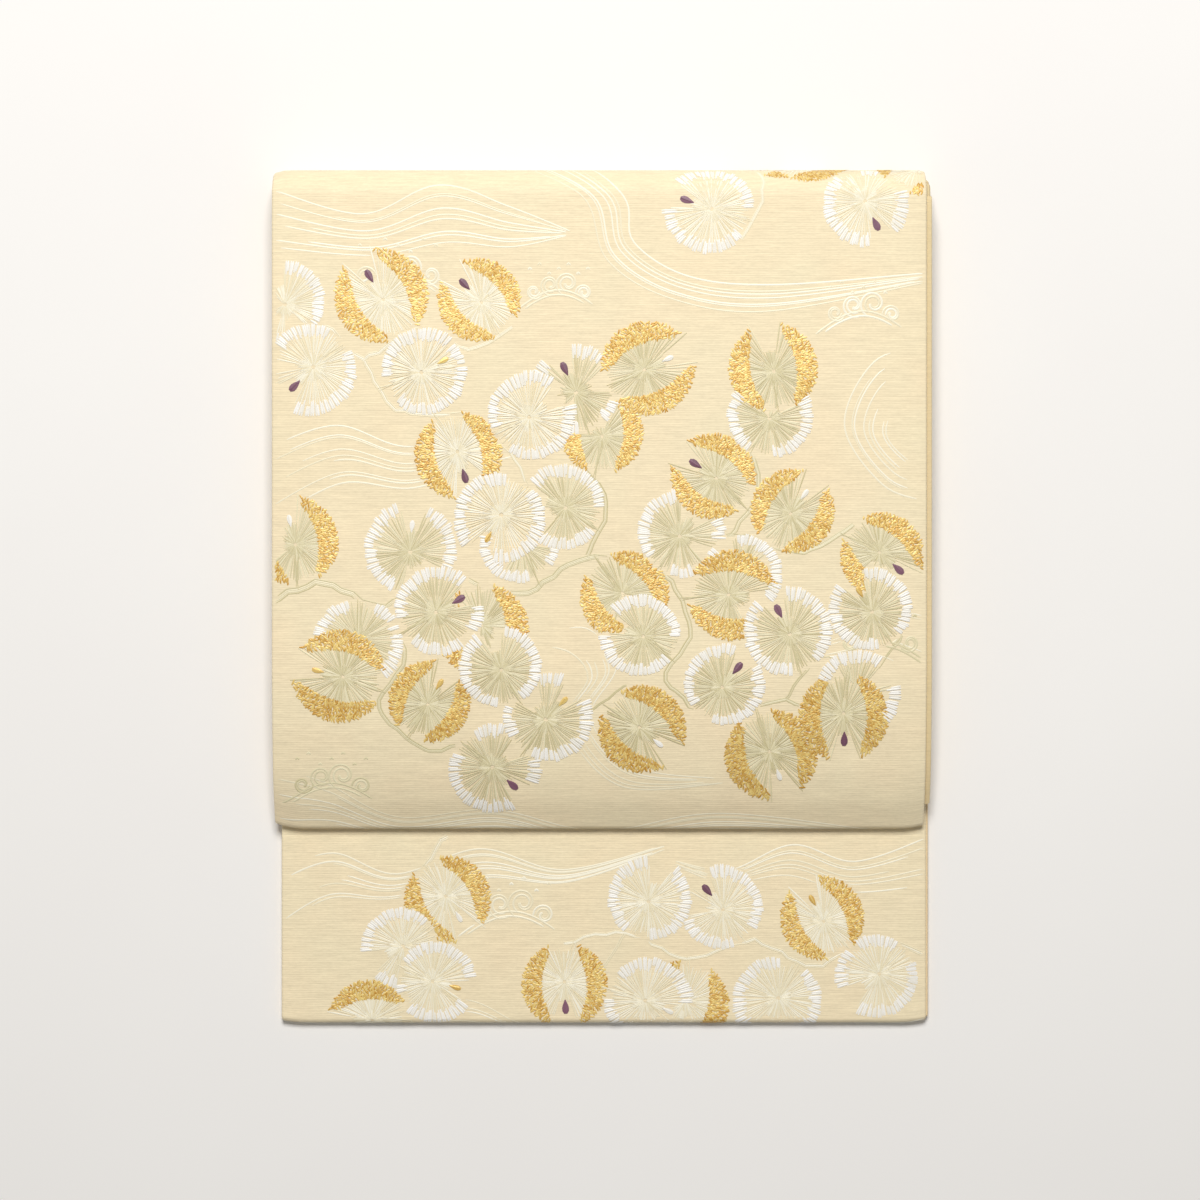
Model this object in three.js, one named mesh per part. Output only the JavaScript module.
// A double obi sash, folded into a flat stack and laid on a table: the square panel (the drum) lies on
// top, and the end flap (the tare) comes out below it. +Z is up, +Y points to the drum's top fold, and
// the origin is the middle of the stack's footprint, on the table. All sizes are in millimetres.
import * as THREE from 'three';

// Driving dimensions
const CLOTH_WIDTH = 310;    // finished width of the sash
const OVERALL_LENGTH = 407.7;   // top fold to the tip of the flap
const STACK_HEIGHT = 27;    // table to the drum's flat top
const DRUM_LENGTH = 314.2;  // top fold to the drum's lower roll
const SKEW = 2.7;           // the drum lies this much to the left of the layers under it
const FACE = 1;             // thickness of the patterned face cloth
const LINING = 1;           // thickness of the plain lining, with its core
const GAP = 0.3;            // air between two pieces that lie on each other
const LINING_SHOWS = 1;     // the flap's lining stands out at the right-hand edge
const LINING_TUCKED = 0.45; // elsewhere the lining's edge stays inside the face's edge
const ARC_STEP = 14;        // degrees between two points of a fold

// Levels and ends that follow from them
const CLOTH = FACE + GAP + LINING;
const TOP_END = OVERALL_LENGTH / 2;
const TIP = -OVERALL_LENGTH / 2;
const DRUM_EDGE = TOP_END - DRUM_LENGTH;
const TARE_HEIGHT = 2 * CLOTH + 0.4;
const ON_TARE = TARE_HEIGHT + GAP;
const DRUM_X = -SKEW / 2;
const TARE_X = SKEW / 2;

// The fold lines of each stretch, seen from the side: where the outer surface would turn a sharp corner,
// and the radius that rounds it.
const DRUM_FOLDS = [
  { y: -44, z: 0, radius: 0 },
  { y: TOP_END, z: 0, radius: STACK_HEIGHT / 2 },
  { y: TOP_END, z: STACK_HEIGHT, radius: STACK_HEIGHT / 2 },
  { y: -38, z: STACK_HEIGHT, radius: 200 },
  { y: -64, z: 24.7, radius: 120 },
  { y: -84, z: 21.2, radius: 80 },
  { y: -97, z: 17.2, radius: 40 },
  { y: DRUM_EDGE, z: 10.1, radius: 3.4 },
  { y: DRUM_EDGE, z: ON_TARE, radius: 2.7 },
  { y: -74, z: ON_TARE, radius: 0 },
];
const TARE_FOLDS = [
  { y: -46, z: TARE_HEIGHT, radius: 0 },
  { y: TIP, z: TARE_HEIGHT, radius: TARE_HEIGHT / 2 },
  { y: TIP, z: 0, radius: TARE_HEIGHT / 2 },
  { y: -48, z: 0, radius: 0 },
];

// Where the walls have a section, as distances in from a side edge
const FROM_EDGE = [0, 2.5, 7, 14, 24, 70];

// The cloth settles: the stack falls a little towards its side edges, and each fold draws in at its
// corners. Every piece is moved by the same rule, so the gaps between them stay.
const SIDE_FALL = { depth: 0.9, reach: 24, above: 8 };
const CORNERS = [
  { from: -80, to: -104, above: 5.15, draw: 2.6, reach: 14 },
  { from: -188, to: -200, above: -1, draw: 1.7, reach: 14 },
  { from: 188, to: 200, above: -1, draw: 1.6, reach: 7 },
];

// The hidden layers, from the table up: how far each stands out or in at either side
const LAYERS = [
  { right: -1.2, left: 0.6 },
  { right: -0.2, left: 0.1 },
  { right: -0.9, left: -0.5 },
  { right: -0.1, left: 0.4 },
  { right: -1.5, left: 0.9 },
  { right: -0.6, left: -0.2 },
  { right: -0.3, left: 0.5 },
  { right: -1.0, left: 0.2 },
  { right: -0.2, left: -0.6 },
  { right: -0.7, left: 0.7 },
  { right: -0.1, left: 0.1 },
  { right: 0, left: -0.3 },
];
const LAYER_GROOVE = 0.9;   // depth of the crease between two layers
const LAYER_CORNER = 3;     // radius of the stack's corners, seen from above
const STACK_FLOOR = [       // underside of the hidden layers: on the wrap, the flap, then the drum's roll
  { y: 300, z: CLOTH + GAP },
  { y: -28, z: CLOTH + GAP },
  { y: -42, z: ON_TARE },
  { y: -58, z: ON_TARE },
  { y: -71, z: ON_TARE + CLOTH + GAP },
  { y: -300, z: ON_TARE + CLOTH + GAP },
];
const STACK_COLUMNS = [-93, -88, -80, -71, -64, -58, -50, -42, -34, -28, 30, 90, 150, 185];
const STACK_NOSE = -101;    // where the hidden layers end in the drum's lower roll
const NOSE_BULGE = 2.5;     // that end is rounded: its top and bottom lie this far behind its middle
const STACK_CLEAR = 0.55;   // air between the hidden layers and the cloth over them
const END_CLEAR = 1.1;      // and where the cloth goes round their far end

const smooth = (t) => THREE.MathUtils.smoothstep(t, 0, 1);

function settle(x, y, z) {
  const inside = CLOTH_WIDTH / 2 + SKEW / 2 - Math.abs(x);
  const side = Math.max(0, 1 - inside / SIDE_FALL.reach);
  let drawn = y;
  for (const corner of CORNERS) {
    if (z < corner.above) continue;
    const near = Math.max(0, 1 - inside / corner.reach);
    const weight = smooth((y - corner.from) / (corner.to - corner.from));
    drawn += Math.sign(corner.from - corner.to) * corner.draw * near * near * weight;
  }
  const height = Math.max(0, z - SIDE_FALL.above) / (STACK_HEIGHT - SIDE_FALL.above);
  return [x, drawn, z - SIDE_FALL.depth * side * side * height];
}

// The outer surface of a stretch, seen from the side, as points with their inward directions
function foldLine(folds) {
  const corners = folds.map((fold) => new THREE.Vector2(fold.y, fold.z));
  const inward = (along) => new THREE.Vector2(-along.y, along.x);
  const headings = corners.slice(1).map((corner, i) => corner.clone().sub(corners[i]).normalize());
  const line = [{ at: corners[0], inward: inward(headings[0]) }];
  for (let i = 1; i < corners.length - 1; i += 1) {
    const turn = Math.atan2(headings[i - 1].cross(headings[i]), headings[i - 1].dot(headings[i]));
    const start = corners[i].clone().addScaledVector(
      headings[i - 1], -folds[i].radius * Math.tan(Math.abs(turn) / 2));
    const centre = start.clone().addScaledVector(inward(headings[i - 1]), folds[i].radius);
    const steps = Math.max(2, Math.ceil(THREE.MathUtils.radToDeg(Math.abs(turn)) / ARC_STEP));
    for (let step = 0; step <= steps; step += 1) {
      const heading = headings[i - 1].clone().rotateAround(new THREE.Vector2(), turn * step / steps);
      const at = centre.clone().addScaledVector(inward(heading), -folds[i].radius);
      const last = line[line.length - 1].at;
      if (at.distanceTo(last) > 0.05) line.push({ at, inward: inward(heading) });
    }
  }
  line.push({ at: corners[corners.length - 1], inward: inward(headings[headings.length - 1]) });
  return line;
}

function closedGeometry(points, triangles) {
  const geometry = new THREE.BufferGeometry();
  geometry.setAttribute('position', new THREE.Float32BufferAttribute(points.flat(), 3));
  geometry.setIndex(triangles.flat());
  geometry.computeVertexNormals();
  return geometry;
}

// A wall of cloth that follows a fold line, from one depth under the outer surface to another
function clothWall(line, outerDepth, innerDepth, left, right) {
  const fromRight = FROM_EDGE.map((inset) => right - inset).reverse();
  const sections = [...FROM_EDGE.map((inset) => left + inset), ...fromRight];
  const points = [];
  const triangles = [];
  const count = line.length;
  for (const x of sections) {
    for (const depth of [outerDepth, innerDepth]) {
      for (const { at, inward } of line) {
        const place = at.clone().addScaledVector(inward, depth);
        points.push(settle(x, place.x, place.y));
      }
    }
  }
  const index = (section, inner, step) => (section * 2 + inner) * count + step;
  const quad = (a, b, c, d) => triangles.push([a, b, c], [a, c, d]);
  const lastSection = sections.length - 1;
  for (let s = 0; s < lastSection; s += 1) {
    for (let i = 0; i < count - 1; i += 1) {
      quad(index(s, 0, i), index(s, 0, i + 1), index(s + 1, 0, i + 1), index(s + 1, 0, i));
      quad(index(s, 1, i), index(s + 1, 1, i), index(s + 1, 1, i + 1), index(s, 1, i + 1));
    }
    quad(index(s, 0, 0), index(s + 1, 0, 0), index(s + 1, 1, 0), index(s, 1, 0));
    const end = count - 1;
    quad(index(s, 0, end), index(s, 1, end), index(s + 1, 1, end), index(s + 1, 0, end));
  }
  for (let i = 0; i < count - 1; i += 1) {
    quad(index(0, 0, i), index(0, 1, i), index(0, 1, i + 1), index(0, 0, i + 1));
    quad(index(lastSection, 0, i), index(lastSection, 0, i + 1),
      index(lastSection, 1, i + 1), index(lastSection, 1, i));
  }
  return closedGeometry(points, triangles);
}

// Height read from a table of rows, straight between two rows
function heightAt(rows, y) {
  for (let i = 1; i < rows.length; i += 1) {
    const [high, low] = [rows[i - 1], rows[i]];
    if (y <= high.y && y >= low.y) {
      return THREE.MathUtils.mapLinear(y, low.y, high.y, low.z, high.z);
    }
  }
  throw new Error(`no height at ${y}`);
}

// The ceiling over the hidden layers: the inner side of the drum's cloth
function stackCeiling(drumLine) {
  const rows = drumLine
    .filter(({ inward }) => inward.y < -0.8)
    .map(({ at, inward }) => at.clone().addScaledVector(inward, CLOTH + STACK_CLEAR))
    .map((point) => ({ y: point.x, z: point.y }));
  return [{ y: 300, z: rows[0].z }, ...rows];
}

// All hidden layers in one solid: outlines stacked upwards, each layer bulging between two creases
function foldedLayers(drumLine) {
  const ceiling = stackCeiling(drumLine);
  const middle = STACK_HEIGHT / 2;
  const endRadius = middle - CLOTH - END_CLEAR;
  const endCentre = TOP_END - middle;
  const levels = [];
  LAYERS.forEach((layer, i) => {
    levels.push({ share: i / LAYERS.length, layer, groove: LAYER_GROOVE });
    levels.push({ share: (i + 0.2) / LAYERS.length, layer, groove: 0 });
    levels.push({ share: (i + 0.8) / LAYERS.length, layer, groove: 0 });
  });
  levels.push({ share: 1, layer: LAYERS[LAYERS.length - 1], groove: LAYER_GROOVE });

  const points = [];
  const outlines = levels.map(({ share, layer, groove }) => {
    const left = TARE_X - CLOTH_WIDTH / 2 - layer.left + groove;
    const right = TARE_X + CLOTH_WIDTH / 2 + layer.right - groove;
    const offCentre = 2 * share - 1;
    const farEnd = endCentre + endRadius * Math.sqrt(Math.max(0, 1 - offCentre ** 2)) - groove;
    const nearEnd = STACK_NOSE + NOSE_BULGE * offCentre ** 2 + groove;
    const corner = LAYER_CORNER;
    const side = [nearEnd + corner, ...STACK_COLUMNS, farEnd - corner];
    const halfTurn = [0.3, 0.7].map((turn) => turn * Math.PI / 2);
    const outline = [
      ...side.map((y) => [right, y]),
      ...halfTurn.map((turn) => [
        right - corner * (1 - Math.cos(turn)), farEnd - corner * (1 - Math.sin(turn))]),
      [right - corner, farEnd],
    ];
    const mirrored = outline.map(([x, y]) => [left + right - x, y]).reverse();
    const near = [
      [left + corner, nearEnd],
      [right - corner, nearEnd],
    ];
    return [...outline, ...mirrored, ...near].map(([x, y]) => {
      const low = heightAt(STACK_FLOOR, y);
      const high = heightAt(ceiling, Math.max(y, nearEnd));
      points.push(settle(x, y, low + (high - low) * share));
      return points.length - 1;
    });
  });

  const triangles = [];
  const around = outlines[0].length;
  for (let level = 0; level < outlines.length - 1; level += 1) {
    for (let i = 0; i < around; i += 1) {
      const next = (i + 1) % around;
      const [a, b] = [outlines[level][i], outlines[level][next]];
      const [c, d] = [outlines[level + 1][next], outlines[level + 1][i]];
      triangles.push([a, b, c], [a, c, d]);
    }
  }
  const rightCount = (around - 2) / 2;
  const cap = (outline, facesUp) => {
    const add = (a, b, c) => triangles.push(facesUp ? [a, b, c] : [a, c, b]);
    const mirror = (i) => outline[2 * rightCount - 1 - i];
    for (let i = 0; i < rightCount - 1; i += 1) {
      add(outline[i], outline[i + 1], mirror(i + 1));
      add(outline[i], mirror(i + 1), mirror(i));
    }
    add(outline[around - 1], outline[0], mirror(0));
    add(outline[around - 1], mirror(0), outline[around - 2]);
  };
  cap(outlines[0], false);
  cap(outlines[outlines.length - 1], true);
  return closedGeometry(points, triangles);
}

function piece(name, geometry, colour, roughness) {
  const material = new THREE.MeshStandardMaterial({ color: colour, roughness, metalness: 0 });
  const mesh = new THREE.Mesh(geometry, material);
  mesh.name = name;
  return mesh;
}

const half = CLOTH_WIDTH / 2;
const drumLine = foldLine(DRUM_FOLDS);
const tareLine = foldLine(TARE_FOLDS);
const liningDepth = FACE + GAP;

const obi = new THREE.Group();
obi.add(
  piece('drum_face', clothWall(drumLine, 0, FACE, DRUM_X - half, DRUM_X + half), '#f0e2c0', 0.62),
  piece('drum_lining', clothWall(drumLine, liningDepth, CLOTH,
    DRUM_X - half + LINING_TUCKED, DRUM_X + half - LINING_TUCKED), '#e6cfa4', 0.7),
  piece('tare_face', clothWall(tareLine, 0, FACE,
    TARE_X - half, TARE_X + half - LINING_SHOWS), '#f0e2c0', 0.62),
  piece('tare_lining', clothWall(tareLine, liningDepth, CLOTH,
    TARE_X - half + LINING_TUCKED, TARE_X + half), '#ead0aa', 0.7),
  piece('folded_layers', foldedLayers(drumLine), '#ddcba0', 0.75),
);

export default obi;
